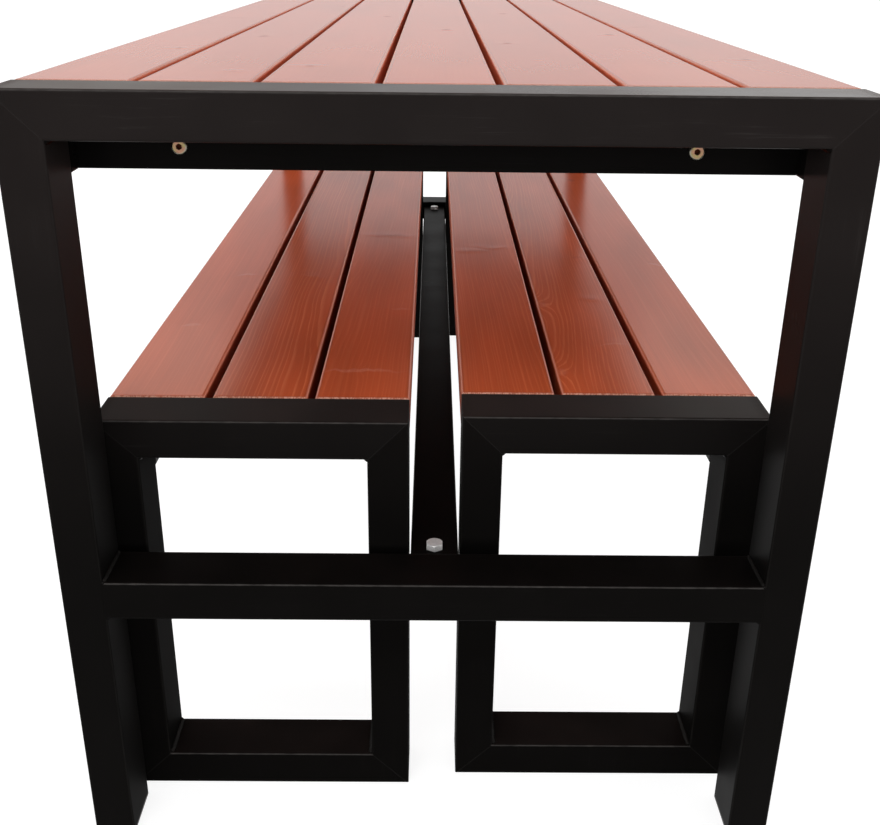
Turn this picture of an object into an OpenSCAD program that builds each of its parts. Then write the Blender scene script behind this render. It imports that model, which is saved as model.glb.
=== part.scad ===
// Garden table with two benches, in welded steel tube and stained boards.
// The benches tuck in under the top, between the end frames, and pull out sideways.
// X runs across the table, Y along it with the near end at -Y, and Z up.
// The origin is on the floor under the middle of the table. Sizes are in millimetres.

/* [Table] */
// Length over the end frames
table_len = 1700; // [1200:10:2200]
// Width over the legs
table_w = 700; // [600:10:900]
// Height of the tabletop
table_h = 750; // [700:5:800]
// Gap between the boards of the top
table_board_gap = 5.8; // [3:0.1:10]
// Height of the crossbar's underside
crossbar_z = 265; // [150:5:350]
// Distance from a leg's inner face to the bolt and the bearer beside it
table_bolt_inset = 88; // [30:1:180]

/* [Benches] */
// Height of a seat
bench_h = 438; // [380:1:480]
// How far a bench's outer face stands in from the table's side
bench_inset = 24; // [5:1:40]
// Gap between a bench and the low beam
bench_beam_gap = 2; // [1.5:0.5:15]
// Gap from the near end frame to the right bench
right_bench_near_gap = 31; // [25:1:60]
// How much closer to the near end frame the left bench stands
bench_stagger = 16; // [0:1:23]
// Gap from the right bench to the far end frame
right_bench_far_gap = 9; // [3:1:40]
// Gap between the boards of a seat
bench_board_gap = 7.5; // [3:0.5:12]
// Distance from a bench leg's inner face to the bolt and the bearer beside it
bench_bolt_inset = 50; // [25:1:65]

/* [Frame tube] */
// Width of the tube, as seen from the end of the table
tube_w = 40; // [32:1:50]
// Depth of the tube, along the table
tube_d = 60; // [40:1:80]
// Wall of the tube
tube_wall = 2; // [1.5:0.5:3]
// Outer corner radius of the tube
tube_r = 3; // [2:0.5:5]

/* [Panel frame under the boards] */
// Height of the panel tube
panel_h = 40; // [30:1:60]
// Width of the panel tube
panel_w = 20; // [16:1:30]
// Wall of the panel tube
panel_wall = 1.5; // [1:0.5:2.5]
// Outer corner radius of the panel tube
panel_r = 2; // [1:0.5:4]
// Length of the stubs that carry a cross-member behind the legs
stub_len = 20; // [10:1:40]
// Thickness of the nut plates welded into the bearers' ends
nut_plate_t = 8; // [5:1:15]

/* [Low beam] */
// Width of the low beam
beam_w = 48; // [30:1:60]
// Height of the low beam
beam_h = 20; // [15:1:30]
// Wall of the low beam
beam_wall = 2; // [1.5:0.5:3]
// Outer corner radius of the low beam
beam_r = 2; // [1:0.5:4]
// Gap between the low beam's ends and the crossbars
beam_end_gap = 1; // [0.5:0.5:4]
// Distance from a crossbar's inner face to the low beam's bolt
beam_bolt_inset = 27; // [18:1:35]
// Length of the tab that carries the low beam
tab_len = 50; // [48:1:80]
// Width of the tab
tab_w = 44; // [28:1:48]
// Thickness of the tab
tab_t = 5; // [3:1:8]

/* [Boards] */
// Thickness of the boards
board_t = 36; // [30:1:45]
// Radius of the rounded board edges
board_r = 3; // [1:0.5:6]
// Gap between a board's ends and the end frames
board_end_gap = 0.5; // [0.2:0.1:2]
// Number of battens under the tabletop, between the cross-members
table_battens_n = 2; // [1:1:4]
// Number of battens under a seat
bench_battens_n = 1; // [1:1:3]

/* [Panel bolts] */
// Diameter of a panel bolt's shank
panel_bolt_d = 8; // [6:1:10]
// Diameter of a panel bolt's button head
panel_head_d = 14.5; // [13:0.5:18]
// Height of a panel bolt's head
panel_head_t = 4; // [3:0.5:5]
// Width across flats of the hexagon socket
panel_socket = 5; // [4:0.5:6]
// Depth of the hexagon socket
panel_socket_depth = 3; // [2:0.5:4]

/* [Beam bolts] */
// Diameter of a beam bolt's shank
beam_bolt_d = 10; // [8:1:12]
// Width across flats of a beam bolt's head and nut
beam_hex = 16; // [15:1:19]
// Height of a beam bolt's head
beam_head_t = 6.4; // [5:0.2:8]
// Height of a nut
nut_t = 8; // [6:0.5:10]
// Diameter of a washer
washer_d = 20; // [19:1:24]
// Thickness of a washer
washer_t = 2; // [1:0.5:3]

/* [Board screws] */
// Diameter of a screw's shank
screw_d = 5; // [4:0.5:6]
// Diameter of a screw's head
screw_head_d = 9; // [8:0.5:11]
// Thickness of a screw's head
screw_head_t = 3; // [2:0.5:4]
// How deep a screw goes into its board
screw_grip = 24; // [15:1:27]

/* [Foot plugs] */
// Thickness of a plug's foot, under the leg
plug_t = 3; // [2:0.5:6]
// How far a plug goes up into the leg
plug_depth = 18; // [12:1:30]
// Gap between a plug's fins and the leg
plug_fit = 0.2; // [0.1:0.1:0.5]
// Depth of a plug's fins
plug_fin = 2; // [1:0.5:4]

/* [Hidden] */
$fn = 48;
// Clearance of a bolt's or screw's shank in a drilled hole, on the radius
drill_fit = 0.5;
// Clearance of a shank in its thread or pilot hole, on the radius
thread_fit = 0.1;
// How far cutting shapes run past what they cut
past = 1;
// Clearance round a screw's head in its access hole, on the radius
access_fit = 1.5;

// Boards in the tabletop and in a seat
table_boards_n = 7;
bench_boards_n = 3;

// Bench sizes that follow the table
bench_spread = beam_w + 2 * bench_beam_gap;
bench_w = (table_w - bench_spread) / 2 - bench_inset;
bench_len = table_len - 2 * tube_d - right_bench_near_gap - right_bench_far_gap;
bench_x = (bench_spread + bench_w) / 2;
right_bench_y = -table_len / 2 + tube_d + right_bench_near_gap + bench_len / 2;
left_bench_y = right_bench_y - bench_stagger;

// Depth from an end frame's outer face to the back of its cross-member
panel_start = tube_d + stub_len;
panel_end = panel_start + panel_w;

// Low beam and what holds it, centred on the crossbar
beam_z = crossbar_z + tube_w / 2 - beam_h / 2;
beam_bolt_y = tube_d + beam_bolt_inset;
beam_bolt_len = beam_h + tab_t + washer_t + nut_t + 3;

steel = [0.09, 0.085, 0.08];
wood = [0.60, 0.24, 0.14];
zinc = [0.72, 0.73, 0.74];
yellow_zinc = [0.74, 0.62, 0.36];
plastic = [0.05, 0.05, 0.05];

// Rounded rectangle, centred
module rounded_section(w, d, r) {
    if (r > 0) {
        square([w - 2 * r, d], center = true);
        square([w, d - 2 * r], center = true);
        for (x = [-1, 1], y = [-1, 1])
            translate([x * (w / 2 - r), y * (d / 2 - r)])
                circle(r);
    } else {
        square([w, d], center = true);
    }
}

// Section of a rectangular tube, centred
module tube_section(w, d, wall, r) {
    difference() {
        rounded_section(w, d, r);
        rounded_section(w - 2 * wall, d - 2 * wall, max(r - wall, 0));
    }
}

// Puts a section drawn in X and Y along X, with its X side upright
module along_x(len) {
    rotate([0, 90, 0])
        linear_extrude(len, center = true)
            children();
}

// Puts a section drawn in X and Y along Y, with its Y side upright
module along_y(len) {
    rotate([90, 0, 0])
        linear_extrude(len, center = true)
            children();
}

module frame_section() {
    tube_section(tube_w, tube_d, tube_wall, tube_r);
}

module panel_section() {
    tube_section(panel_w, panel_h, panel_wall, panel_r);
}

// Draws its children for the left side, and mirrored for the right side
module left_and_right() {
    children();
    mirror([1, 0, 0])
        children();
}

// Draws its children for the near end, and mirrored for the far end.
// Their y = 0 is the outer face of the near end frame.
module near_end(len) {
    translate([0, -len / 2, 0])
        children();
}

module far_end(len) {
    mirror([0, 1, 0])
        near_end(len)
            children();
}

module both_ends(len) {
    near_end(len)
        children();
    far_end(len)
        children();
}

// Left leg of an end frame. Its top is mitred at 45 degrees, and so is its foot
// where a bottom rail joins it. Otherwise it stops at foot_z.
module frame_leg(w, h, foot_z, rail) {
    outer = -w / 2 - past;
    inner = -w / 2 + tube_w + past;
    intersection() {
        translate([-w / 2 + tube_w / 2, tube_d / 2, 0])
            linear_extrude(h)
                frame_section();
        translate([0, tube_d / 2, 0])
            along_y(tube_d + 2 * past)
                polygon([
                    [outer, rail ? -past : foot_z],
                    [inner, rail ? tube_w + past : foot_z],
                    [inner, h - tube_w - past],
                    [outer, h + past]
                ]);
    }
}

// Bar of an end frame, mitred at both ends, with its long face at z = 0
module frame_bar(w) {
    translate([0, tube_d / 2, 0])
        intersection() {
            translate([0, 0, -tube_w / 2])
                along_x(w)
                    frame_section();
            along_y(tube_d + 2 * past)
                polygon([
                    [-w / 2 - past, past],
                    [w / 2 + past, past],
                    [w / 2 - tube_w - past, -tube_w - past],
                    [-w / 2 + tube_w + past, -tube_w - past]
                ]);
        }
}

// Half the width of the panel frame, whose stubs are flush with the legs' inner faces
function panel_half(w) = w / 2 - tube_w + panel_w;

// Height of the panel frame's underside, for a top at height h
function panel_z(h) = h - board_t - panel_h;

// Left stub: it stands on the back of a leg and is mitred to the cross-member
module stub(w, h) {
    half = panel_half(w);
    translate([0, 0, panel_z(h) + panel_h / 2])
        intersection() {
            translate([-half + panel_w / 2, (tube_d + panel_end) / 2, 0])
                along_y(panel_end - tube_d)
                    panel_section();
            linear_extrude(panel_h + 2 * past, center = true)
                polygon([
                    [-half - past, 0],
                    [-half + panel_w + past, 0],
                    [-half + panel_w + past, panel_start - past],
                    [-half - past, panel_end + past]
                ]);
        }
}

// Cross-member behind an end frame, with its bolt holes and screw holes
module cross_member(w, h, bolt_x, n, gap) {
    half = panel_half(w);
    difference() {
        translate([0, 0, panel_z(h) + panel_h / 2])
            intersection() {
                translate([0, (panel_start + panel_end) / 2, 0])
                    along_x(2 * half)
                        rotate(90)
                            panel_section();
                linear_extrude(panel_h + 2 * past, center = true)
                    polygon([
                        [-half - past, panel_end + past],
                        [half + past, panel_end + past],
                        [half - panel_w - past, panel_start - past],
                        [-half + panel_w + past, panel_start - past]
                    ]);
            }
        left_and_right()
            translate([bolt_x, (panel_start + panel_end) / 2, panel_z(h) + panel_h / 2])
                along_y(panel_w + 2 * past)
                    circle(panel_bolt_d / 2 + drill_fit);
        end_screw_places(w, n, gap)
            screw_hole(h);
    }
}

// Bearer under the boards, from one cross-member to the other, drilled where screws meet it.
// A nut plate is welded into each of its ends.
module bearer(w, h, len, x, n, gap, battens_n) {
    bearer_len = len - 2 * panel_end;
    difference() {
        translate([x, 0, panel_z(h) + panel_h / 2]) {
            along_y(bearer_len)
                panel_section();
            both_ends(bearer_len)
                translate([0, nut_plate_t / 2, 0])
                    along_y(nut_plate_t)
                        difference() {
                            rounded_section(panel_w - panel_wall, panel_h - panel_wall, 0);
                            circle(panel_bolt_d / 2 + thread_fit);
                        }
        }
        batten_screw_places(w, len, n, gap, battens_n)
            screw_hole(h);
    }
}

// Battens under the boards: each is a row of three tubes, between and outside the bearers
module battens(w, h, len, bolt_x, n, gap, battens_n) {
    half = panel_half(w);
    inside = 2 * bolt_x - panel_w;
    outside = half - bolt_x - panel_w / 2;
    difference() {
        for (y = batten_ys(len, battens_n))
            translate([0, y, panel_z(h) + panel_h / 2]) {
                along_x(inside)
                    rotate(90)
                        panel_section();
                left_and_right()
                    translate([half - outside / 2, 0, 0]) {
                        along_x(outside)
                            rotate(90)
                                panel_section();
                        translate([(outside - panel_wall) / 2, 0, 0])
                            along_x(panel_wall)
                                rotate(90)
                                    rounded_section(panel_w - panel_wall, panel_h - panel_wall, 0);
                    }
            }
        batten_screw_places(w, len, n, gap, battens_n)
            screw_hole(h);
    }
}

// Places of the battens along the panel, evenly spaced between the cross-members
function batten_ys(len, battens_n) =
    [for (k = [1 : battens_n]) (k / (battens_n + 1) - 0.5) * (len - 2 * panel_end)];

// Width of one of n boards, and the place of its centre
function board_width(w, n, gap) = (w - (n - 1) * gap) / n;
function board_x(w, n, gap, i) = (i - (n + 1) / 2) * (board_width(w, n, gap) + gap);

// Place of a screw across the panel, kept clear of the panel frame's mitred corners
function screw_x(w, x) =
    let (reach = panel_half(w) - panel_w - screw_head_d / 2 - access_fit)
    max(-reach, min(reach, x));

// Screw places over the near cross-member, two in each board
module end_screw_places(w, n, gap) {
    for (i = [1 : n], side = [-1, 1])
        translate([
            screw_x(w, board_x(w, n, gap, i) + side * board_width(w, n, gap) / 4),
            (panel_start + panel_end) / 2,
            0
        ])
            children();
}

// Screw places over the battens, one in the middle of each board
module batten_screw_places(w, len, n, gap, battens_n) {
    for (i = [1 : n], y = batten_ys(len, battens_n))
        translate([screw_x(w, board_x(w, n, gap, i)), y, 0])
            children();
}

module all_screw_places(w, len, n, gap, battens_n) {
    both_ends(len)
        end_screw_places(w, n, gap)
            children();
    batten_screw_places(w, len, n, gap, battens_n)
        children();
}

// Hole for a screw through a panel tube: narrow in the top wall, wide below it
module screw_hole(h) {
    top = h - board_t;
    translate([0, 0, top - panel_wall - past])
        cylinder(r = screw_d / 2 + drill_fit, h = panel_wall + 2 * past);
    translate([0, 0, top - panel_h - past])
        cylinder(r = screw_head_d / 2 + access_fit, h = panel_wall + 2 * past);
}

// Screw that holds a board down: its head sits inside the tube, under the top wall
module board_screw(h) {
    seat = h - board_t - panel_wall;
    translate([0, 0, seat - screw_head_t])
        difference() {
            cylinder(r = screw_head_d / 2, h = screw_head_t);
            translate([0, 0, -past])
                cylinder(r = screw_d / 4, h = screw_head_t / 2 + past, $fn = 4);
        }
    translate([0, 0, seat - past])
        cylinder(r = screw_d / 2, h = screw_grip + panel_wall + past);
}

// Board number i of n, with rounded edges and ends, and pilot holes for its screws
module board(w, h, len, n, gap, i, battens_n) {
    board_w = board_width(w, n, gap);
    board_len = len - 2 * (tube_d + board_end_gap);
    difference() {
        translate([board_x(w, n, gap, i), 0, h - board_t / 2])
            intersection() {
                along_y(board_len)
                    rounded_section(board_w, board_t, board_r);
                along_x(board_w + 2 * past)
                    rounded_section(board_t, board_len, board_r);
            }
        all_screw_places(w, len, n, gap, battens_n)
            translate([0, 0, h - board_t - past])
                cylinder(r = screw_d / 2 + thread_fit, h = screw_grip + past + 1);
    }
}

// Button-headed bolt with a hexagon socket. Its head is outside the cross-member.
module panel_bolt(h, bolt_x) {
    rim = panel_head_t / 4;
    flat_r = panel_socket / sqrt(3) + 1.8;
    round_w = panel_head_d / 2 - flat_r;
    reach = panel_w + nut_plate_t + 2;
    translate([bolt_x, panel_start, panel_z(h) + panel_h / 2])
        rotate([-90, 0, 0])
            difference() {
                rotate_extrude()
                    polygon([
                        [0, -panel_head_t],
                        for (a = [90 : -15 : 0])
                            [flat_r + round_w * cos(a), -rim - (panel_head_t - rim) * sin(a)],
                        [panel_head_d / 2, 0],
                        [panel_bolt_d / 2, 0],
                        [panel_bolt_d / 2, reach],
                        [0, reach]
                    ]);
                translate([0, 0, -panel_head_t - past])
                    hexagon(panel_socket, panel_socket_depth + past);
            }
}

// Hexagonal prism, by its width across flats
module hexagon(flats, h) {
    rotate(30)
        cylinder(r = flats / sqrt(3), h = h, $fn = 6);
}

// Bolt that holds the low beam down on its tab
module beam_bolt() {
    corner = beam_hex / sqrt(3);
    translate([0, beam_bolt_y, beam_z + beam_h]) {
        intersection() {
            hexagon(beam_hex, beam_head_t);
            rotate_extrude()
                polygon([
                    [0, 0],
                    [corner, 0],
                    [corner, beam_head_t - (corner - beam_hex / 2)],
                    [beam_hex / 2, beam_head_t],
                    [0, beam_head_t]
                ]);
        }
        translate([0, 0, -beam_bolt_len])
            cylinder(r = beam_bolt_d / 2, h = beam_bolt_len + past);
    }
}

// Nut and washer under the tab
module beam_nut() {
    translate([0, beam_bolt_y, beam_z - tab_t - washer_t]) {
        difference() {
            cylinder(r = washer_d / 2, h = washer_t);
            translate([0, 0, -past])
                cylinder(r = beam_bolt_d / 2 + drill_fit, h = washer_t + 2 * past);
        }
        translate([0, 0, -nut_t])
            difference() {
                hexagon(beam_hex, nut_t);
                translate([0, 0, -past])
                    cylinder(r = beam_bolt_d / 2 + thread_fit, h = nut_t + 2 * past);
            }
    }
}

// Tab welded to the inner face of a crossbar
module beam_tab() {
    translate([0, 0, beam_z - tab_t])
        linear_extrude(tab_t)
            difference() {
                translate([-tab_w / 2, tube_d])
                    square([tab_w, tab_len]);
                translate([0, beam_bolt_y])
                    circle(beam_bolt_d / 2 + drill_fit);
            }
}

// Finned plug in the open end of a table leg, for the left leg
module foot_plug() {
    bore_w = tube_w - 2 * tube_wall;
    bore_d = tube_d - 2 * tube_wall;
    bore_r = max(tube_r - tube_wall, 0);
    translate([-table_w / 2 + tube_w / 2, tube_d / 2, 0]) {
        linear_extrude(plug_t)
            rounded_section(tube_w, tube_d, tube_r);
        linear_extrude(plug_t + plug_depth)
            rounded_section(bore_w - 2 * (plug_fit + plug_fin), bore_d - 2 * (plug_fit + plug_fin), 0);
        for (k = [1 : 3])
            translate([0, 0, plug_t + (k - 0.5) * plug_depth / 3])
                linear_extrude(1.5)
                    rounded_section(bore_w - 2 * plug_fit, bore_d - 2 * plug_fit, bore_r);
    }
}

table_bolt_x = table_w / 2 - tube_w - table_bolt_inset;
bench_bolt_x = bench_w / 2 - tube_w - bench_bolt_inset;

// Table

module table_leg() {
    color(steel)
        frame_leg(table_w, table_h, plug_t, false);
}

module table_top_bar() {
    color(steel)
        translate([0, 0, table_h])
            frame_bar(table_w);
}

module table_crossbar() {
    color(steel)
        translate([0, tube_d / 2, crossbar_z + tube_w / 2])
            along_x(table_w - 2 * tube_w)
                frame_section();
}

module table_cross_members() {
    color(steel)
        both_ends(table_len)
            cross_member(table_w, table_h, table_bolt_x, table_boards_n, table_board_gap);
}

module table_stubs() {
    color(steel)
        both_ends(table_len)
            left_and_right()
                stub(table_w, table_h);
}

module table_bearer(side) {
    color(steel)
        bearer(table_w, table_h, table_len, side * table_bolt_x,
            table_boards_n, table_board_gap, table_battens_n);
}

module table_battens() {
    color(steel)
        battens(table_w, table_h, table_len, table_bolt_x,
            table_boards_n, table_board_gap, table_battens_n);
}

module table_board(i) {
    color(wood)
        board(table_w, table_h, table_len, table_boards_n, table_board_gap, i, table_battens_n);
}

module table_panel_bolts() {
    color(yellow_zinc)
        both_ends(table_len)
            left_and_right()
                panel_bolt(table_h, table_bolt_x);
}

module table_board_screws() {
    color(yellow_zinc)
        all_screw_places(table_w, table_len, table_boards_n, table_board_gap, table_battens_n)
            board_screw(table_h);
}

module table_low_beam() {
    color(steel)
        difference() {
            translate([0, 0, beam_z + beam_h / 2])
                along_y(table_len - 2 * (tube_d + beam_end_gap))
                    tube_section(beam_w, beam_h, beam_wall, beam_r);
            both_ends(table_len)
                translate([0, beam_bolt_y, beam_z - past])
                    cylinder(r = beam_bolt_d / 2 + drill_fit, h = beam_h + 2 * past);
        }
}

module table_beam_tabs() {
    color(steel)
        both_ends(table_len)
            beam_tab();
}

module table_beam_bolts() {
    color(zinc)
        both_ends(table_len)
            beam_bolt();
}

module table_beam_nuts() {
    color(zinc)
        both_ends(table_len)
            beam_nut();
}

module table_foot_plugs() {
    color(plastic)
        both_ends(table_len)
            left_and_right()
                foot_plug();
}

// Bench, drawn about its own middle

module bench_leg() {
    color(steel)
        frame_leg(bench_w, bench_h, 0, true);
}

module bench_top_bars() {
    color(steel)
        both_ends(bench_len)
            translate([0, 0, bench_h])
                frame_bar(bench_w);
}

module bench_bottom_rails() {
    color(steel)
        both_ends(bench_len)
            mirror([0, 0, 1])
                frame_bar(bench_w);
}

module bench_cross_members() {
    color(steel)
        both_ends(bench_len)
            cross_member(bench_w, bench_h, bench_bolt_x, bench_boards_n, bench_board_gap);
}

module bench_stubs() {
    color(steel)
        both_ends(bench_len)
            left_and_right()
                stub(bench_w, bench_h);
}

module bench_bearers() {
    color(steel)
        for (side = [-1, 1])
            bearer(bench_w, bench_h, bench_len, side * bench_bolt_x,
                bench_boards_n, bench_board_gap, bench_battens_n);
}

module bench_battens() {
    color(steel)
        battens(bench_w, bench_h, bench_len, bench_bolt_x,
            bench_boards_n, bench_board_gap, bench_battens_n);
}

module bench_board(i) {
    color(wood)
        board(bench_w, bench_h, bench_len, bench_boards_n, bench_board_gap, i, bench_battens_n);
}

module bench_panel_bolts() {
    color(yellow_zinc)
        both_ends(bench_len)
            left_and_right()
                panel_bolt(bench_h, bench_bolt_x);
}

module bench_board_screws() {
    color(yellow_zinc)
        all_screw_places(bench_w, bench_len, bench_boards_n, bench_board_gap, bench_battens_n)
            board_screw(bench_h);
}

// Bench piece by the last part of its node's name. The inner legs face the other bench.
module bench_piece(piece) {
    if (piece == "leg_near_inner") near_end(bench_len) bench_leg();
    if (piece == "leg_near_outer") mirror([1, 0, 0]) near_end(bench_len) bench_leg();
    if (piece == "leg_far_inner") far_end(bench_len) bench_leg();
    if (piece == "leg_far_outer") mirror([1, 0, 0]) far_end(bench_len) bench_leg();
    if (piece == "top_bars") bench_top_bars();
    if (piece == "bottom_rails") bench_bottom_rails();
    if (piece == "cross_members") bench_cross_members();
    if (piece == "stubs") bench_stubs();
    if (piece == "bearers") bench_bearers();
    if (piece == "battens") bench_battens();
    if (piece == "board_1") bench_board(1);
    if (piece == "board_2") bench_board(2);
    if (piece == "board_3") bench_board(3);
    if (piece == "panel_bolts") bench_panel_bolts();
    if (piece == "board_screws") bench_board_screws();
}

module right_bench(piece) {
    translate([bench_x, right_bench_y, 0])
        bench_piece(piece);
}

module left_bench(piece) {
    translate([-bench_x, left_bench_y, 0])
        mirror([1, 0, 0])
            bench_piece(piece);
}

near_end(table_len) table_leg();  // table_leg_near_left
mirror([1, 0, 0]) near_end(table_len) table_leg();  // table_leg_near_right
far_end(table_len) table_leg();  // table_leg_far_left
mirror([1, 0, 0]) far_end(table_len) table_leg();  // table_leg_far_right
near_end(table_len) table_top_bar();  // table_top_bar_near
far_end(table_len) table_top_bar();  // table_top_bar_far
near_end(table_len) table_crossbar();  // table_crossbar_near
far_end(table_len) table_crossbar();  // table_crossbar_far
table_cross_members();
table_stubs();
table_bearer(-1);  // table_bearer_left
table_bearer(1);  // table_bearer_right
table_battens();
table_board(1);  // table_board_1
table_board(2);  // table_board_2
table_board(3);  // table_board_3
table_board(4);  // table_board_4
table_board(5);  // table_board_5
table_board(6);  // table_board_6
table_board(7);  // table_board_7
table_panel_bolts();
table_board_screws();
table_low_beam();
table_beam_tabs();
table_beam_bolts();
table_beam_nuts();
table_foot_plugs();
left_bench("leg_near_inner");  // left_bench_leg_near_inner
left_bench("leg_near_outer");  // left_bench_leg_near_outer
left_bench("leg_far_inner");  // left_bench_leg_far_inner
left_bench("leg_far_outer");  // left_bench_leg_far_outer
left_bench("top_bars");  // left_bench_top_bars
left_bench("bottom_rails");  // left_bench_bottom_rails
left_bench("cross_members");  // left_bench_cross_members
left_bench("stubs");  // left_bench_stubs
left_bench("bearers");  // left_bench_bearers
left_bench("battens");  // left_bench_battens
left_bench("board_1");  // left_bench_board_1
left_bench("board_2");  // left_bench_board_2
left_bench("board_3");  // left_bench_board_3
left_bench("panel_bolts");  // left_bench_panel_bolts
left_bench("board_screws");  // left_bench_board_screws
right_bench("leg_near_inner");  // right_bench_leg_near_inner
right_bench("leg_near_outer");  // right_bench_leg_near_outer
right_bench("leg_far_inner");  // right_bench_leg_far_inner
right_bench("leg_far_outer");  // right_bench_leg_far_outer
right_bench("top_bars");  // right_bench_top_bars
right_bench("bottom_rails");  // right_bench_bottom_rails
right_bench("cross_members");  // right_bench_cross_members
right_bench("stubs");  // right_bench_stubs
right_bench("bearers");  // right_bench_bearers
right_bench("battens");  // right_bench_battens
right_bench("board_1");  // right_bench_board_1
right_bench("board_2");  // right_bench_board_2
right_bench("board_3");  // right_bench_board_3
right_bench("panel_bolts");  // right_bench_panel_bolts
right_bench("board_screws");  // right_bench_board_screws
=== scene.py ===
"""Garden table with two benches: finishes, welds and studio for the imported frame.

The table's and the benches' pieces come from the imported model. This script gives each of
them its finish, lays the welds that join the steel tubes, and sets up the camera and light.
"""
import math
import bmesh
import bpy
from bpy.props import FloatProperty, FloatVectorProperty, PointerProperty
from bpy.types import Operator, Panel, PropertyGroup
from mathutils import Matrix, Vector


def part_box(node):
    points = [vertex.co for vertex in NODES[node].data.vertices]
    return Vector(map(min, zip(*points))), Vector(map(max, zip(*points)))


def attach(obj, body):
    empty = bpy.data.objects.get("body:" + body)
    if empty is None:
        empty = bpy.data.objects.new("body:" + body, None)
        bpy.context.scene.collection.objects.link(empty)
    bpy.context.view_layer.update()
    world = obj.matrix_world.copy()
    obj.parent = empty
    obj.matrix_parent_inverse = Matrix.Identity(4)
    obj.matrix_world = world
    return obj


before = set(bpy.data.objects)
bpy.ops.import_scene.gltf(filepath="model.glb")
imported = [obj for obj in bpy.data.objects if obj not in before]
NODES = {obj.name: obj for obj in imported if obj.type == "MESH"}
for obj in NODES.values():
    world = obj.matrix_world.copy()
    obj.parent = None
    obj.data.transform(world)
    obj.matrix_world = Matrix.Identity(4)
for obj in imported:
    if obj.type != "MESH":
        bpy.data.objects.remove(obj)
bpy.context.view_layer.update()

bl_info = {
    "name": "Garden table with two benches",
    "version": (1, 0, 0),
    "blender": (4, 5, 0),
    "location": "View3D > Sidebar > Garden table",
    "description": "Powder-coated steel, glazed pine, welds and a studio for the garden table",
    "category": "Object",
}

BODIES = ("table", "left_bench", "right_bench")
MM = 0.001

# Sides of the steel tubes: of the end frames' tubes, within their frame and along the table,
# and of the panel frames' tubes.
FRAME_TUBE = 40 * MM
FRAME_TUBE_LONG = 60 * MM
PANEL_TUBE = 20 * MM
# How far beads stop short of the tubes' sides, for the rounded edges.
FRAME_INSET = 2.2 * MM
STUB_INSET = 2.0 * MM
BATTEN_INSET = 3.0 * MM
# Fills in the grooves that the rounded edges leave: how thick they are, how far they lie
# inside the two sides, and how far past the tube or short of its end they run.
FILL_RADIUS = 1.6 * MM
FILL_INSET = 1.7 * MM
FILL_SUNK = 0.3 * MM
FILL_MARGIN = 1.0 * MM

CAMERA_PLACE = (-0.0052, -1.7097, 0.8545)
# Degrees that the camera looks down and to its right, and that it is rolled.
CAMERA_ANGLES = (23.44, 0.555, -0.699)
SENSOR_WIDTH = 36.0


def colour_property(name, description, default):
    return FloatVectorProperty(
        name=name, description=description, default=default,
        subtype="COLOR", size=3, min=0.0, max=1.0,
    )


def share_property(name, description, default, low=0.0, high=1.0):
    return FloatProperty(
        name=name, description=description, default=default,
        subtype="FACTOR", min=low, max=high,
    )


def length_property(name, description, default, low, high):
    return FloatProperty(
        name=name, description=description, default=default,
        unit="LENGTH", min=low, max=high, precision=4,
    )


class BoardFinish(PropertyGroup):
    """Glazed pine of the tabletop and the seats."""

    glaze: colour_property("Glaze", "Colour of the glazed soft wood", (0.49, 0.082, 0.024))
    late_wood: colour_property("Late wood", "Colour of the rings' lines", (0.61, 0.142, 0.048))
    knot: colour_property("Knot", "Colour of the knots", (0.2, 0.03, 0.012))
    # Arris is also the colour of the painted highlights along the boards' edges and ends.
    arris: colour_property("Arris", "Colour of worn edges and pale marks", (0.8, 0.46, 0.35))
    roughness: share_property("Roughness", "How matt the glaze is", 0.2)
    ring_width: length_property("Ring width", "Thickness of one year's ring", 0.0034, 0.001, 0.01)


class SteelFinish(PropertyGroup):
    """Powder coat of the frames."""

    coat: colour_property("Powder coat", "Colour of the powder coat", (0.0032, 0.0029, 0.0027))
    # Painted light: the end frames' coat is painted lighter towards the top, and this is its
    # colour there.
    painted_top_light: colour_property("Faded", "Colour near the top, in the sun", (0.0118, 0.0096, 0.0091))
    # Arris is also the colour of the painted highlights along the tubes' upper edges.
    arris: colour_property("Arris", "Colour of worn edges and scuffs", (0.08, 0.074, 0.07))
    dust: colour_property("Dust", "Colour of dust on faces that look up", (0.3, 0.185, 0.16))
    roughness: share_property("Roughness", "How matt the powder coat is", 0.27)


class FastenerFinish(PropertyGroup):
    """Plated bolts, nuts and screws."""

    zinc: colour_property("Zinc", "Colour of the beam bolts and nuts", (0.82, 0.8, 0.79))
    yellow_zinc: colour_property(
        "Yellow zinc", "Colour of the screws and the panel bolts' rims", (0.25, 0.235, 0.19),
    )
    # Painted shade: the colour painted into the panel bolts' sockets.
    socket: colour_property("Socket", "Colour in the panel bolts' sockets", (0.05, 0.012, 0.006))
    roughness: share_property("Roughness", "How matt the plating is", 0.33)


class WeldSizes(PropertyGroup):
    """Weld beads between the tubes."""

    leg: length_property("Leg", "How far a bead reaches along each face", 0.004, 0.001, 0.01)
    pitch: length_property("Pitch", "Distance between two ripples of a bead", 0.0022, 0.0005, 0.01)


class Studio(PropertyGroup):
    """Floor, lamps and camera."""

    floor: colour_property("Floor", "Colour of the light that the floor sends up", (0.5, 0.5, 0.5))
    floor_size: length_property("Floor size", "Side of the square floor", 80.0, 5.0, 200.0)
    horizon: share_property("Horizon", "Brightness of the light from the sides", 4.1, 0.0, 8.0)
    zenith: share_property("Zenith", "Brightness of the light from above", 0.4, 0.0, 8.0)
    lamp: FloatProperty(
        name="Lamp", description="Power of the lamp in front, above the camera", default=26.0,
        min=0.0, unit="POWER",
    )
    panels: FloatProperty(
        name="Panels", description="Power of each of the two soft panels behind the table",
        default=4.4, min=0.0, unit="POWER",
    )
    lens: FloatProperty(
        name="Lens", description="Focal length of the camera", default=44.09, min=10.0, max=200.0,
        unit="CAMERA",
    )


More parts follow.
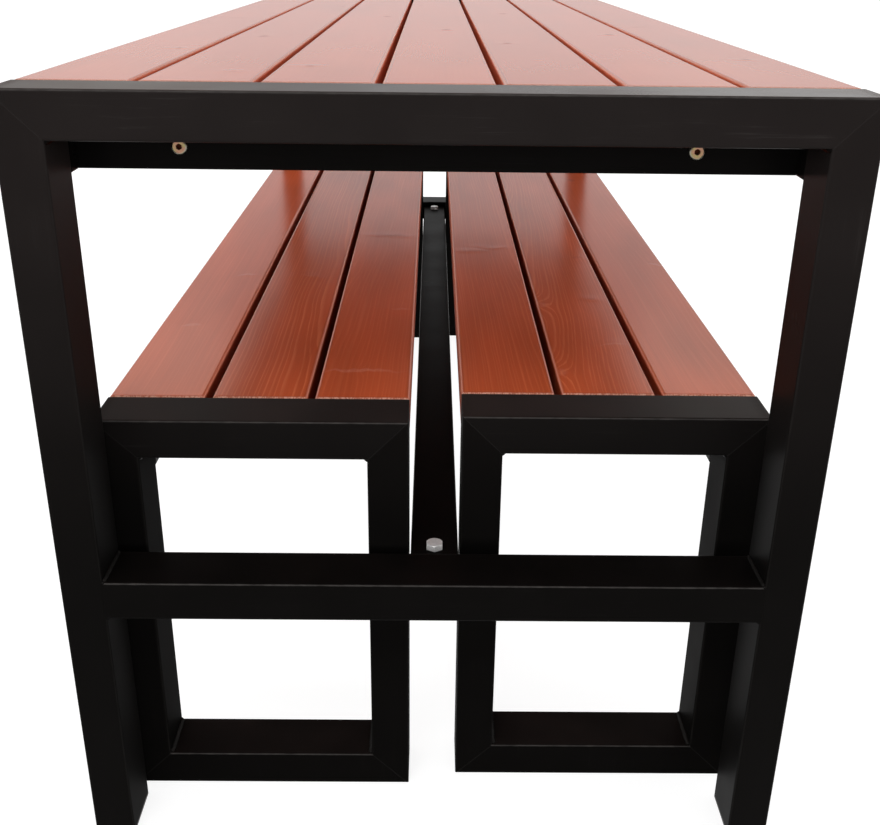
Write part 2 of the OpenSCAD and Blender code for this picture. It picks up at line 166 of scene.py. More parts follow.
class GardenTable(PropertyGroup):
    """All sizes and colours that a user would change."""

    boards: PointerProperty(type=BoardFinish)
    steel: PointerProperty(type=SteelFinish)
    fasteners: PointerProperty(type=FastenerFinish)
    welds: PointerProperty(type=WeldSizes)
    studio: PointerProperty(type=Studio)


class Socket:
    """An output socket, so that shader maths reads as an expression."""

    def __init__(self, shader, socket):
        self.shader = shader
        self.socket = socket

    def __add__(self, other):
        return self.shader.maths("ADD", self, other)

    def __radd__(self, other):
        return self.shader.maths("ADD", other, self)

    def __sub__(self, other):
        return self.shader.maths("SUBTRACT", self, other)

    def __rsub__(self, other):
        return self.shader.maths("SUBTRACT", other, self)

    def __mul__(self, other):
        return self.shader.maths("MULTIPLY", self, other)

    def __rmul__(self, other):
        return self.shader.maths("MULTIPLY", other, self)

    def __truediv__(self, other):
        return self.shader.maths("DIVIDE", self, other)

    def __rtruediv__(self, other):
        return self.shader.maths("DIVIDE", other, self)

    def __pow__(self, other):
        return self.shader.maths("POWER", self, other)

    def __abs__(self):
        return self.shader.maths("ABSOLUTE", self)


class Shader:
    """Makes the nodes of one material or of the world."""

    def __init__(self, owner):
        owner.use_nodes = True
        self.tree = owner.node_tree
        self.tree.nodes.clear()

    def add(self, kind, settings=None, *values, out=None, **named):
        """Adds a node. Values go to its sockets in order, or by name with _ for a blank."""
        node = self.tree.nodes.new("ShaderNode" + kind)
        for key, value in (settings or {}).items():
            setattr(node, key, value)
        open_sockets = [s for s in node.inputs if s.enabled]
        for socket, value in zip(open_sockets, values):
            self.feed(socket, value)
        for name, value in named.items():
            self.feed(next(s for s in open_sockets if s.name == name.replace("_", " ")), value)
        given = [s for s in node.outputs if s.enabled and (out is None or s.name == out)]
        return Socket(self, given[0]) if given else node

    def feed(self, socket, value):
        """Links the socket to another, or sets its value."""
        if isinstance(value, Socket):
            self.tree.links.new(value.socket, socket)
        elif socket.type == "RGBA" and len(value) == 3:
            socket.default_value = (*value, 1.0)
        elif socket.type == "VECTOR" and isinstance(value, (int, float)):
            socket.default_value = (value,) * 3
        else:
            socket.default_value = value

    def maths(self, operation, *values):
        """Maths on numbers, or on vectors and colours if one of the values is one."""
        wide = any(map(self.is_wide, values))
        return self.add("VectorMath" if wide else "Math", {"operation": operation}, *values)

    def is_wide(self, value):
        """Whether the value is a vector or a colour."""
        if isinstance(value, Socket):
            return value.socket.type != "VALUE"
        return hasattr(value, "__len__")

    def larger(self, one, two):
        return self.maths("MAXIMUM", one, two)

    def split(self, vector):
        """The three numbers of a vector."""
        node = self.tree.nodes.new("ShaderNodeSeparateXYZ")
        self.feed(node.inputs[0], vector)
        return [Socket(self, s) for s in node.outputs]

    def length(self, vector):
        return self.add("VectorMath", {"operation": "LENGTH"}, vector, out="Value")

    def step(self, value, start, end):
        """0 before start, 1 after end, smooth between them."""
        return self.add(
            "MapRange", {"interpolation_type": "SMOOTHSTEP"}, value, start, end, 0.0, 1.0,
        )

    def mix(self, share, first, second):
        """Mixes two colours."""
        return self.add("Mix", {"data_type": "RGBA"}, share, first, second)

    def noise(self, place, detail=2.0, roughness=0.5):
        """Noise from about 0 to 1. The place is in units of one grain."""
        return self.add(
            "TexNoise", {"noise_dimensions": "3D"}, out="Fac",
            Vector=place, Scale=1.0, Detail=detail, Roughness=roughness,
        )

    def wander(self, along, seed):
        """Slow noise of one number, from about -0.5 to 0.5."""
        return self.add(
            "TexNoise", {"noise_dimensions": "1D"}, out="Fac",
            W=along + seed, Scale=1.0, Detail=1.0,
        ) - 0.5

    def rounded(self, normal):
        """1 on the rounded edges of straight tubes and boards, and 0 on their flat faces."""
        x, y, z = self.split(normal * normal)
        return (x * y + y * z + z * x) * 4.0

    def surface(self, **values):
        """Adds the surface's shader with the values, and joins it to the output."""
        surface = self.add("BsdfPrincipled", None, out="BSDF", **values)
        self.add("OutputMaterial", None, Surface=surface)


def paint(material, names):
    """Gives the material to the named pieces of the frame."""
    for name in names:
        slots = NODES[name].data.materials
        slots.clear()
        slots.append(material)


def nodes_named(*parts):
    """Names of the frame's pieces that hold one of the parts."""
    return sorted(name for name in NODES if any(part in name for part in parts))


def pieces_of(body, part):
    """Names of the body's pieces that hold the part."""
    return [name for name in nodes_named(part) if name.startswith(body)]


def span(*names):
    """Lowest and highest corner of the named pieces together."""
    boxes = [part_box(name) for name in names]
    low = Vector([min(box[0][i] for box in boxes) for i in range(3)])
    high = Vector([max(box[1][i] for box in boxes) for i in range(3)])
    return low, high


# How each board was sawn, in mm: heart, lean, sweep, tone, grain and knots. heart is the place
# of the tree's heart across the board and below its face, lean how far it moves over a metre,
# and sweep how far it wanders. tone makes the board lighter or darker, and grain is how clearly
# the rings show through the glaze. A knot has its place across the board and from the near end,
# its half length along the board and half width across it, and how dark it is. Less than zero
# is a pale mark.
BOARD_LOOKS = {
    "table_board_1": ((40, -45), (10, 26), 8, 0.03, 0.1, [
        (-6, 838, 5, 25, 0.14), (24, 300, 5, 5, 0.4),
    ]),
    "table_board_2": ((-14, -34), (-8, 18), 10, -0.02, 0.1, [
        (19, 79, 4, 4, 0.14), (-12, 477, 7, 7, 0.4), (30, 1180, 6, 6, 0.4),
    ]),
    "table_board_3": ((70, -50), (8, -20), 5, 0.02, 0.1, [
        (-19, 129, 5, 5, 0.4), (22, 900, 7, 7, 0.4),
    ]),
    "table_board_4": ((-60, -40), (-6, 22), 6, 0.0, 0.1, [
        (12, 620, 8, 8, 0.4), (-28, 1240, 5, 5, 0.4),
    ]),
    "table_board_5": ((8, -28), (12, 14), 9, -0.02, 0.1, [
        (-20, 410, 6, 6, 0.4), (10, 1010, 8, 8, 0.4),
    ]),
    "table_board_6": ((-80, -60), (-10, -24), 5, 0.03, 0.1, [(22, 560, 7, 7, 0.4)]),
    "table_board_7": ((30, -55), (9, 28), 8, -0.03, 0.1, [
        (-18, 716, 5, 25, 0.14), (14, 240, 5, 5, 0.4),
    ]),
    "left_bench_board_1": ((-75, -70), (6, 30), 6, 0.0, 0.6, [
        (-5, 77, 2.6, 46, -0.24), (3, 660, 4, 38, 0.24), (30, 289, 2, 15, -0.15),
    ]),
    "left_bench_board_2": ((62, -60), (5, 12), 3, -0.06, 1.6, [
        (-24, 1210, 8, 8, 0.4), (1, 430, 1.5, 14, -0.1),
    ]),
    # Its raised tone is partly painted light, for the extra light that falls on this board.
    "left_bench_board_3": ((-90, -60), (12, -22), 5, 0.16, 0.4, [
        (21, 432, 3, 15, -0.2), (-11, 220, 3, 13, -0.18),
    ]),
    "right_bench_board_1": ((85, -60), (-8, 20), 4, 0.02, 1.0, [
        (-22, 555, 2.5, 24, 0.2), (14, 575, 2, 24, -0.2), (22, 1200, 7, 7, 0.4),
    ]),
    "right_bench_board_2": ((-52, -30), (18, 24), 7, 0.0, 1.5, [
        (-43, 290, 8, 10, -0.1), (-43, 58, 6, 9, -0.15), (27, 147, 1.6, 18, -0.2),
        (31, 520, 3, 10, 0.2), (25, 322, 2.5, 6, 0.3),
    ]),
    "right_bench_board_3": ((70, -75), (-10, 18), 5, 0.05, 0.4, [
        (39, 487, 3, 13, -0.22), (-14, 1090, 8, 8, 0.4),
    ]),
}


def knot_marks(shader, place, own, half_length, radius, knots):
    """Bends the rings round the knots.

    Returns the rings' radius, and how dark, how pale and how raised the wood is.
    """
    dark, pale, swell = 0.0, 0.0, 0.0
    ragged = (shader.noise(own * 0.3) - 0.5) * 0.5
    uneven = (shader.noise(own * (0.03, 0.05, 0.03)) - 0.5) * 0.7
    sway = (shader.noise(own * (0.03, 0.008, 0.03)) - 0.5) * 44.0
    swayed = place + shader.add("CombineXYZ", None, 0.0, sway, 0.0)
    for knot_x, knot_y, half_along, half_across, shade in knots:
        # A wide mark wavers with the fibres that it lies across.
        centre = (knot_x, knot_y - half_length, 0.0)
        from_knot = (swayed if half_across > 8 else place) - centre
        flow = shader.length(from_knot * (0.5 / half_along, 0.2 / half_along, 0.0))
        radius = radius + (1.5 * half_along) / (flow * flow + 1.0)
        away = shader.length(from_knot * (1 / half_across, 0.5 / half_along, 0.0))
        core = (1.0 - shader.step(away + ragged, 0.4, 1.1)) * abs(shade)
        if shade > 0:
            dark = shader.larger(dark, core)
        else:
            pale = shader.larger(pale, core * (0.5 + ragged * 2.0))
        wave = shader.length(from_knot * (1 / (half_across + 22), 1 / 22, 0.0)) + uneven
        swell = shader.larger(swell, 1.0 - shader.step(wave, 0.0, 1.0))
    return radius, dark, pale, swell


def glazed_pine(name, seed, finish):
    """Pine with a mahogany glaze, with rings, grain and knots that run through the board."""
    heart, lean, sweep, tone, grain, knots = BOARD_LOOKS[name]
    bench = not name.startswith("table")
    low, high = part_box(name)
    middle = ((low.x + high.x) / 2, (low.y + high.y) / 2, high.z)
    half_width, half_length = ((high - low) / 2 / MM).xy
    row_low, row_high = span(*[other for other in BOARD_LOOKS if other[:-1] == name[:-1]])
    row_left, row_right = (row_low.x - middle[0]) / MM, (row_high.x - middle[0]) / MM

    material = bpy.data.materials.new("glazed_pine_" + name)
    shader = Shader(material)
    place = (shader.add("TexCoord", out="Object") - middle) * (1 / MM)
    normal = shader.add("TexCoord", out="Normal")
    x, y, z = shader.split(place)
    facing_x, facing_y, facing_z = shader.split(normal * normal)
    own = place + (137.0 * seed, 0.0, 71.0 * seed)

    across = x - heart[0] - y * (lean[0] * MM) - shader.wander(y * 0.0021, 3.1 * seed) * sweep
    depth = z - heart[1] - y * (lean[1] * MM) - shader.wander(y * 0.0026, 7.7 * seed) * 2 * sweep
    radius = (across * across + depth * depth) ** 0.5
    radius = radius + (shader.noise(own * (0.02, 0.004, 0.02)) - 0.5) * 5.0
    radius = radius + (shader.noise(own * (0.2, 0.003, 0.2)) - 0.5)
    radius, dark, pale, swell = knot_marks(shader, place, own, half_length, radius, knots)

    year = radius / (finish.ring_width / MM) + shader.wander(radius * 0.11, seed) * 2.2
    part = shader.maths("FRACT", year)
    late = shader.step(part, 0.55, 0.9) * (1.0 - shader.step(part, 0.94, 1.0))

    fibre = shader.noise(own * (1.9, 0.035, 1.9), detail=3.0, roughness=0.6)
    streak = shader.noise(own * (0.35, 0.004, 0.35))
    cloud = shader.noise(own * (0.016, 0.004, 0.016), detail=1.0)
    brush = shader.noise(own * (0.8, 0.009, 0.8), detail=1.0)

    # Painted highlights along the boards' long edges, and along their sawn ends painted highlights
    # broken by chips.
    long_edge = facing_x * facing_z * 4.0
    chips = shader.step(shader.noise(own * (0.7, 0.2, 0.5)), 0.42, 0.6)
    chipped = 0.3 if bench else 0.75
    sawn_edge = facing_y * facing_z * 4.0 * (chipped + chips * (1.0 - chipped))
    worn_and_highlit = shader.maths("MINIMUM", long_edge * 0.2 + sawn_edge * 0.8, 1.0)
    past_edge = shader.larger(abs(x) - half_width, abs(y) - half_length)
    pooled = shader.step(past_edge, -5.0, -2.5)
    side = shader.step(facing_x, 0.4, 0.95)
    in_gap = shader.step(x, row_left + 2, row_left + 4)
    in_gap = in_gap * (1.0 - shader.step(x, row_right - 4, row_right - 2))

    colour = shader.mix(late * (0.1 + 0.6 * streak) * grain, finish.glaze, finish.late_wood)
    tint = 1.0 + tone + (cloud - 0.5) * (0.6 if bench else 0.34)
    tint = tint + (fibre - 0.5) * 0.2 * grain + (streak - 0.5) * (0.2 if bench else 0.07)
    tint = tint * (1.0 - pooled * 0.2)
    # Painted shade and light on the boards' sides: the outer sides are painted darker, the sides
    # in the seats' gaps, under the tabletop, a little darker too, and the sides in the tabletop's
    # gaps are painted lighter, as if lit.
    tint = tint * (1.0 - facing_y * 0.35 + side * (in_gap * (0.05 if bench else 0.55) - 0.15))
    colour = shader.mix(dark, colour * tint, finish.knot)
    # Pale marks of the wood, and the edges' painted highlights with their wear and chips.
    colour = shader.mix(shader.larger(worn_and_highlit, pale), colour, finish.arris)

    roughness = (
        finish.roughness + (late * 0.01 + (brush - 0.5) * 0.03) * grain + worn_and_highlit * 0.1
        + facing_y * 0.2 + side * 0.5 + dark * 0.12
    )
    height = (
        (late + fibre + brush) * (0.0004 * grain) + swell * 0.2
        + shader.noise(own * (0.03, 0.01, 0.03)) * 0.03
    )
    bump = shader.add("Bump", None, Strength=1.0, Distance=MM, Height=height)
    shader.surface(Base_Color=colour, Roughness=roughness, IOR=1.17, Normal=bump)
    return material


def powder_coat(name, finish, seams=None, outside=True, gloss=0.013, highlight_and_wear=1.0, upright=False):
    """Satin powder coat: a fine orange peel, thin dust, scuffs, painted highlights on the upper
    edges, and ground weld seams.

    seams gives the distances from the seams. outside is for the end frames' tubes, whose coat is
    painted lighter towards the top as painted light, with more dust and scuffs up there and
    rougher lower down.
    gloss is how strongly the coat mirrors, and wear how strongly the painted edge highlights, the
    worn edges and the scuffs show. The scuffs run along x, or upright.
    """
    material = bpy.data.materials.new(name)
    shader = Shader(material)
    place = shader.add("TexCoord", out="Object") * (1 / MM)
    normal = shader.add("TexCoord", out="Normal")
    _, _, up = shader.split(normal)
    x, _, height = shader.split(place)

    peel = shader.noise(place * 0.85)
    grit = shader.noise(place * 3.5, detail=1.0)
    cloud = shader.noise(place * 0.013)
    along = (0.35, 0.35, 0.009) if upright else (0.009, 0.35, 0.35)
    scuff = shader.noise(place * along, detail=4.0, roughness=0.7)
    scuff = shader.step(scuff, 0.56, 0.74) * shader.step(cloud, 0.42, 0.6)
    patchy = shader.noise(place * 0.08) - 0.5
    edge = shader.step(shader.rounded(normal) + patchy * 0.5, 0.55, 1.15)
    settled = shader.step(cloud + (peel - 0.5) * 0.3, 0.3, 0.8)
    dust = shader.step(up, 0.8, 1.0) * (0.5 + 0.5 * settled)

    # Painted light: on the end frames' tubes the coat is painted lighter towards the top, as
    # though more light fell and reflected there.
    high_up = shader.step(height, 320.0, 720.0) if outside else 0.0
    colour = shader.mix(high_up, finish.coat, finish.painted_top_light)
    colour = colour * (0.8 + cloud * 0.4)
    colour = shader.mix(dust * (high_up * 0.12 + (0.03 if outside else 0.01)), colour, finish.dust)
    # Painted highlights along the edges that face up, with slight real wear on all edges, and
    # scuffs.
    lightened = edge * (0.05 + shader.step(up, 0.1, 0.6) * 0.5)
    lightened = lightened + scuff * (high_up * (0.05 if upright else 0.18) + 0.02)
    colour = shader.mix(lightened * highlight_and_wear, colour, finish.arris)
    roughness = (
        finish.roughness + (cloud - 0.5) * 0.12 + scuff * 0.1 + dust * 0.06 - edge * 0.05
        + (grit - 0.5) * 0.05
    )
    if outside:
        roughness = roughness - x * 0.0003 + (1.0 - high_up) * 0.25
    relief = peel * 0.016 + grit * 0.004
    if seams:
        line, ground = 0.0, 0.0
        for seam in seams(x, height):
            wavy = abs(seam + (shader.noise(place * 0.35) - 0.5) * 0.9)
            line = shader.larger(line, 1.0 - shader.step(wavy, 0.1, 0.8))
            ground = shader.larger(ground, 1.0 - shader.step(wavy, 3.0, 9.0))
        pits = shader.step(shader.noise(place * 0.55, detail=1.0), 0.6, 0.72)
        colour = shader.mix(line * 0.06, colour, finish.arris)
        relief = relief - line * 0.12 - ground * pits * 0.1
        relief = relief + ground * shader.noise(place * 0.3) * 0.09
        roughness = roughness + ground * 0.06
    bump = shader.add("Bump", None, Strength=1.0, Distance=MM, Height=relief)
    shader.surface(
        Base_Color=colour, Roughness=roughness, Normal=bump,
        Specular_IOR_Level=gloss, Specular_Tint=(1.0, 0.9, 0.88),
    )
    return material


def table_seams(x, z):
    """Distance in mm from the mitres between the table's legs and top bars."""
    _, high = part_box("table_top_bar_near")
    return [(abs(x) - z - (high.x - high.z) / MM) * math.sqrt(0.5)]


def bench_seams(x, z):
    """Distance in mm from the mitres of the benches' end frames."""
    low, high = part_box("right_bench_top_bars")
    middle, half = (low.x + high.x) / 2 / MM, (high.x - low.x) / 2 / MM
    side = abs(abs(x) - middle)
    return [
        (side - z - (half - high.z / MM)) * math.sqrt(0.5),
        (side + z - half) * math.sqrt(0.5),
    ]


def plated_steel(name, colour, tints, finish, metal=1.0, heads=None):
    """Plated steel of bolts and screws, with fine scratches and bright edges.

    heads names a piece with button heads, which are bare at the rim and stained round their
    sockets, whose dark colour is painted shade.
    """
    material = bpy.data.materials.new(name)
    shader = Shader(material)
    place = shader.add("TexCoord", out="Object") * (1 / MM)
    normal = shader.add("TexCoord", out="Normal")
    cloud = shader.noise(place * 0.22)
    scratch = shader.noise(place * (6.0, 0.7, 3.0), detail=3.0, roughness=0.7)
    stain = shader.step(shader.noise(place * 0.6, detail=3.0), 0.52, 0.75)
    edge = shader.step(shader.rounded(normal), 0.2, 0.9)
    base = shader.mix(shader.step(cloud, 0.35, 0.65), tints[0], tints[1])
    base = shader.mix(stain * 0.5, base, tints[2])
    lightened = edge * 0.6 + (scratch - 0.5) * 0.3
    roughness = finish.roughness + (scratch - 0.5) * 0.3 + stain * 0.15 - edge * 0.08
    if heads:
        low, high = (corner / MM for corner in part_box(heads))
        middle, half = (low + high) / 2, (high - low) / 2
        x, y, z = shader.split(place - tuple(middle))
        aside = abs(x) - (half.x - half.z)
        from_axis = (aside * aside + z * z) ** 0.5 + (cloud - 0.5) * 0.6
        lightened = shader.step(from_axis, half.z - 2.4, half.z - 1.0)
    base = shader.mix(lightened, base, colour)
    if heads:
        # Painted shade: the sockets in the heads are painted dark.
        outer_end = shader.step(abs(y), half.y - 6, half.y - 5)
        socket = (1.0 - shader.step(from_axis, 2.3, 2.8)) * outer_end
        base = shader.mix(socket, base, finish.socket)
        roughness = roughness + socket * 0.3
    height = scratch * 0.012 + cloud * 0.01
    bump = shader.add("Bump", None, Strength=0.7, Distance=MM, Height=height)
    shader.surface(Base_Color=base, Metallic=metal, Roughness=roughness, Normal=bump)
    return material


def black_plastic(name):
    """Moulded plastic of the foot plugs, scratched where they stand on the floor."""
    material = bpy.data.materials.new(name)
    shader = Shader(material)
    place = shader.add("TexCoord", out="Object") * (1 / MM)
    _, _, z = shader.split(place)
    grain = shader.noise(place * 2.2)
    rub = (1.0 - shader.step(z, 0.2, 2.0)) * shader.noise(place * (0.4, 2.0, 1.0), detail=3.0)
    colour = shader.mix(rub * 0.7, (0.018, 0.017, 0.016), (0.09, 0.085, 0.08))
    bump = shader.add("Bump", None, Strength=0.6, Distance=MM, Height=grain * 0.03 - rub * 0.05)
    shader.surface(Base_Color=colour, Roughness=0.48 + grain * 0.14, Normal=bump)
    return material


def ring_count(length, pitch):
    """Steps between the rings of a bead, four for each ripple."""
    return max(6, round(length / (pitch / 4)))


def join_rings(mesh, rings):
    """Adds the faces between the rings of a bead, and those that close its ends."""
    count = len(rings[0])
    for one, two in zip(rings, rings[1:]):
        for j in range(count):
            k = (j + 1) % count
            mesh.faces.new((one[j], one[k], two[k], two[j]))
    mesh.faces.new(list(reversed(rings[0])))
    mesh.faces.new(rings[-1])


def bead(mesh, start, end, first, second, leg, pitch):
    """Adds a weld bead from start to end, in the corner between two faces.

    first and second are the directions along the two faces, away from the corner.
    """
    start, end, first, second = (Vector(v) for v in (start, end, first, second))
    along = end - start
    steps, arc = ring_count(along.length, pitch), 8
    rings = []
    for i in range(steps + 1):
        share = i / steps
        run = share * along.length
        taper = min(1.0, (min(run, along.length - run) / leg + 0.25)) ** 0.5
        ring = []
        for j in range(arc + 1):
            angle = j / arc * math.pi / 2
            lag = math.sin(2 * angle) * 0.45
            ripple = math.cos((run / pitch - lag) * 2 * math.pi)
            drift = math.sin(run / leg * 1.7 + start.x * 900 + start.z * 700)
            flat = 1 / (math.cos(angle) + math.sin(angle))
            reach = leg * taper * (0.6 * flat + 0.4) * (1 + 0.045 * ripple + 0.06 * drift)
            ring.append(mesh.verts.new(
                start + along * share
                + first * (reach * math.cos(angle)) + second * (reach * math.sin(angle))
            ))
        ring.append(mesh.verts.new(start + along * share))
        rings.append(ring)
    join_rings(mesh, rings)


def seam_fill(mesh, start, end, radius, pitch):
    """Adds a round bead along a line, as where a groove between two tubes is filled."""
    start, end = Vector(start), Vector(end)
    along = end - start
    direction = along.normalized()
    side = direction.orthogonal().normalized()
    other = direction.cross(side)
    steps, sides = ring_count(along.length, pitch), 12
    rings = []
    for i in range(steps + 1):
        run = i / steps * along.length
        taper = min(1.0, (min(run, along.length - run) / radius + 0.1)) ** 0.5
        swell = 1 - 0.05 * (1 + math.cos(run / pitch * 2 * math.pi))
        reach = radius * taper * swell
        rings.append([
            mesh.verts.new(
                start + along * (i / steps)
                + side * (reach * math.cos(j / sides * 2 * math.pi))
                + other * (reach * math.sin(j / sides * 2 * math.pi))
            )
            for j in range(sides)
        ])
    join_rings(mesh, rings)


def finish_mesh(mesh, name, material, body):
    """Turns the beads into a piece that rides on a body."""
    bmesh.ops.recalc_face_normals(mesh, faces=mesh.faces)
    data = bpy.data.meshes.new(name)
    mesh.to_mesh(data)
    mesh.free()
    for polygon in data.polygons:
        polygon.use_smooth = len(polygon.vertices) == 4
    data.materials.append(material)
    piece = bpy.data.objects.new(name, data)
    bpy.context.scene.collection.objects.link(piece)
    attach(piece, body)


class GARDEN_TABLE_OT_coat_frames(Operator):
    """Powder coat on the tubes of the table and the benches"""

    bl_idname = "garden_table.coat_frames"
    bl_label = "Coat the frames"

    def execute(self, context):
        finish = context.scene.garden_table.steel
        coats = {
            "table_top": powder_coat("table_top_bar_coat", finish, table_seams, gloss=0.031),
            "table": powder_coat(
                "table_leg_coat", finish, table_seams, gloss=0.018, upright=True,
            ),
            "bench_top": powder_coat("bench_top_bar_coat", finish, bench_seams, gloss=0.027),
            "bench": powder_coat("bench_leg_coat", finish, bench_seams, gloss=0.005, upright=True),
            "plain": powder_coat("panel_frame_coat", finish, outside=False),
            "beam": powder_coat("beam_coat", finish, outside=False, gloss=0.008),
        }
        powder_coat("weld_coat", finish, outside=False, highlight_and_wear=0.2)
        for name in nodes_named("leg_", "top_bar", "bottom_rail"):
            kind = "table" if name.startswith("table") else "bench"
            paint(coats[kind + "_top" if "top_bar" in name else kind], [name])
        paint(coats["plain"], nodes_named(
            "crossbar", "cross_members", "stubs", "bearer", "battens", "beam_tabs",
        ))
        paint(coats["beam"], ["table_low_beam"])
        return {"FINISHED"}


class GARDEN_TABLE_OT_glaze_boards(Operator):
    """Mahogany glaze on the pine boards, each with its own grain"""

    bl_idname = "garden_table.glaze_boards"
    bl_label = "Glaze the boards"

    def execute(self, context):
        finish = context.scene.garden_table.boards
        for seed, name in enumerate(BOARD_LOOKS, start=1):
            paint(glazed_pine(name, seed, finish), [name])
        return {"FINISHED"}


class GARDEN_TABLE_OT_plate_fasteners(Operator):
    """Zinc on the beam bolts and nuts, yellow zinc on the panel bolts and screws"""

    bl_idname = "garden_table.plate_fasteners"
    bl_label = "Plate the fasteners"

    def execute(self, context):
        finish = context.scene.garden_table.fasteners
        grey_tints = ((0.7, 0.69, 0.68), (0.78, 0.76, 0.75), (0.6, 0.58, 0.57))
        yellow_tints = ((0.3, 0.26, 0.11), (0.34, 0.18, 0.12), (0.25, 0.15, 0.09))
        zinc = plated_steel("zinc_plating", finish.zinc, grey_tints, finish, metal=0.15)
        yellow = plated_steel("yellow_zinc_plating", finish.yellow_zinc, yellow_tints, finish)
        paint(zinc, nodes_named("beam_bolts", "beam_nuts"))
        paint(yellow, nodes_named("board_screws"))
        for name in nodes_named("panel_bolts"):
            paint(plated_steel(
                "yellow_zinc_" + name, finish.yellow_zinc, yellow_tints, finish, heads=name,
            ), [name])
        return {"FINISHED"}


class GARDEN_TABLE_OT_mould_foot_plugs(Operator):
    """Moulded plastic on the plugs in the table's feet"""

    bl_idname = "garden_table.mould_foot_plugs"
    bl_label = "Mould the foot plugs"

    def execute(self, context):
        paint(black_plastic("moulded_plastic"), ["table_foot_plugs"])
        return {"FINISHED"}


class GARDEN_TABLE_OT_lay_welds(Operator):
    """Weld beads where the steel tubes meet"""

    bl_idname = "garden_table.lay_welds"
    bl_label = "Lay the welds"

    def execute(self, context):
        sizes = context.scene.garden_table.welds
        coat = bpy.data.materials["weld_coat"]
        for body in BODIES:
            self.frame_welds(body, sizes, coat)
            self.panel_welds(body, sizes, coat)
        return {"FINISHED"}

    def frame_welds(self, body, sizes, coat):
        """Beads in the inside corners of the end frames, and at the crossbars' ends."""
        mesh = bmesh.new()
        bench = body != "table"
        low, high = span(*pieces_of(body, "top_bar"))
        corners = [(high.z - FRAME_TUBE, -1)] + ([(FRAME_TUBE, 1)] if bench else [])
        for y in (low.y, high.y - FRAME_TUBE_LONG):
            front, back = y + FRAME_INSET, y + FRAME_TUBE_LONG - FRAME_INSET
            for x, inward in ((low.x + FRAME_TUBE, 1), (high.x - FRAME_TUBE, -1)):
                for z, away in corners:
                    bead(
                        mesh, (x, front, z), (x, back, z),
                        (inward, 0, 0), (0, 0, away), sizes.leg, sizes.pitch,
                    )
        if not bench:
            for name in ("table_crossbar_near", "table_crossbar_far"):
                self.crossbar_welds(mesh, name, sizes)
            self.tab_welds(mesh, sizes)
        finish_mesh(mesh, body + "_frame_welds", coat, body)

    def crossbar_welds(self, mesh, name, sizes):
        """Beads above and below a crossbar's ends, and fills down their rounded edges."""
        low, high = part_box(name)
        bottom, top = low.z - FILL_MARGIN, high.z + FILL_MARGIN
        for x, inward in ((low.x, 1), (high.x, -1)):
            for z, away in ((low.z, -1), (high.z, 1)):
                bead(
                    mesh, (x, low.y + FRAME_INSET, z), (x, high.y - FRAME_INSET, z),
                    (inward, 0, 0), (0, 0, away), sizes.leg * 0.8, sizes.pitch,
                )
            for y in (low.y + FILL_INSET, high.y - FILL_INSET):
                seam_fill(mesh, (x, y, bottom), (x, y, top), FILL_RADIUS, sizes.pitch)

    def tab_welds(self, mesh, sizes):
        """Beads under the tabs that carry the low beam."""
        low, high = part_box("table_beam_tabs")
        for y, away in ((low.y, 1), (high.y, -1)):
            bead(
                mesh, (low.x, y, low.z), (high.x, y, low.z),
                (0, away, 0), (0, 0, -1), sizes.leg * 0.75, sizes.pitch,
            )

    def panel_welds(self, body, sizes, coat):
        """Beads on the tubes that carry the boards."""
        mesh = bmesh.new()
        leg = sizes.leg * 0.7
        self.stub_welds(mesh, body, leg, sizes.pitch)
        self.batten_welds(mesh, body, leg, sizes.pitch)
        finish_mesh(mesh, body + "_panel_welds", coat, body)

    def stub_welds(self, mesh, body, leg, pitch):
        """Beads and fills round the stubs, where they meet the legs."""
        low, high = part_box(body + "_stubs")
        for y, away in ((low.y, 1), (high.y, -1)):
            for x, inward in ((low.x, 1), (high.x, -1)):
                outer, inner = (
                    x + inward * inset for inset in (STUB_INSET, PANEL_TUBE - STUB_INSET)
                )
                bead(
                    mesh, (outer, y, low.z), (inner, y, low.z),
                    (0, away, 0), (0, 0, -1), leg, pitch,
                )
                bead(
                    mesh, (x, y, low.z + STUB_INSET), (x, y, high.z - STUB_INSET),
                    (0, away, 0), (-inward, 0, 0), leg, pitch,
                )
                edge = (x + inward * (PANEL_TUBE - FILL_INSET), y + away * FILL_SUNK)
                seam_fill(
                    mesh, (*edge, low.z + FILL_MARGIN), (*edge, high.z - FILL_MARGIN),
                    FILL_RADIUS, pitch,
                )

    def batten_welds(self, mesh, body, leg, pitch):
        """Beads between the battens and the bearers. A bench has only one row of battens."""
        bearers_low, bearers_high = span(*pieces_of(body, "bearer"))
        low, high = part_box(body + "_battens")
        bottom, top = low.z + BATTEN_INSET, high.z - BATTEN_INSET
        rows = [(low.y, low.y + PANEL_TUBE)]
        if body == "table":
            rows.append((high.y - PANEL_TUBE, high.y))
        for front, back in rows:
            for y, away in ((front, -1), (back, 1)):
                for x, beside in (
                    (bearers_low.x, -1), (bearers_low.x + PANEL_TUBE, 1),
                    (bearers_high.x - PANEL_TUBE, -1), (bearers_high.x, 1),
                ):
                    bead(
                        mesh, (x, y, bottom), (x, y, top), (0, away, 0), (beside, 0, 0),
                        leg, pitch,
                    )


